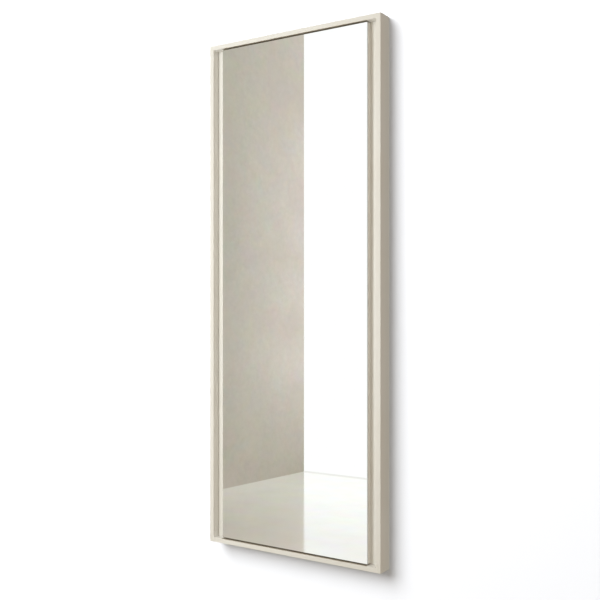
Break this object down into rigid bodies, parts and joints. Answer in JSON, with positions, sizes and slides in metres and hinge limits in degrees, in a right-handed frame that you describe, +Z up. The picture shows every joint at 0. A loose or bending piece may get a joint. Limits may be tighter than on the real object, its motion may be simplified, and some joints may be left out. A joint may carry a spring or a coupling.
{
  "type": "full-length wall mirror",
  "caption": "Tall rectangular wall mirror in a slim lacquered box frame, with an open channel down each side of the raised glass; it hangs on a hidden cleat and lifts off.",
  "frame": {"origin": "middle of the wall cleat's row of screw holes, on the wall", "axes": "+X right as seen from the front, +Y into the wall, +Z up; the front faces -Y"},
  "size_m": [0.7, 0.062, 1.8],
  "materials": {
    "lacquered_board": "cream satin lacquer on 16 mm fibreboard",
    "lacquered_panel": "cream satin lacquer on fibreboard",
    "plywood": "birch plywood, unfinished",
    "mirror": "silvered float glass, ground and polished edges",
    "film": "grey polyethylene film",
    "foam_tape": "white closed-cell foam",
    "aluminium": "mill-finish extrusion",
    "zinc_steel": "zinc-plated pressed steel",
    "zinc_screw": "zinc-plated",
    "felt": "pressed wool felt"
  },
  "bodies": {
    "wall_hanger": {"wall_cleat": "aluminium"},
    "mirror": {"left_stile": "lacquered_board", "right_stile": "lacquered_board", "top_rail": "lacquered_board", "bottom_rail": "lacquered_board", "back_panel": "lacquered_panel", "carrier_panel": "lacquered_panel", "mitre_tongue_top_left": "plywood", "mitre_tongue_top_right": "plywood", "mitre_tongue_bottom_left": "plywood", "mitre_tongue_bottom_right": "plywood", "corner_bracket_top_left": "zinc_steel", "corner_bracket_top_right": "zinc_steel", "corner_bracket_bottom_left": "zinc_steel", "corner_bracket_bottom_right": "zinc_steel", "wall_pad_top_left": "felt", "wall_pad_top_right": "felt", "wall_pad_bottom_left": "felt", "wall_pad_bottom_right": "felt", "mounting_tape_1": "foam_tape", "mounting_tape_2": "foam_tape", "mounting_tape_3": "foam_tape", "mounting_tape_4": "foam_tape", "mounting_tape_5": "foam_tape", "mirror_glass": "mirror", "safety_film": "film", "frame_cleat": "aluminium", "carrier_screws": "zinc_screw", "frame_cleat_screws": "zinc_screw", "corner_bracket_screws": "zinc_screw"}
  },
  "joints": [
    {"name": "lift_off", "type": "slide", "parent": "wall_hanger", "child": "mirror", "axis": [0, 0, 1], "range_m": [0, 0.014]}
  ]
}
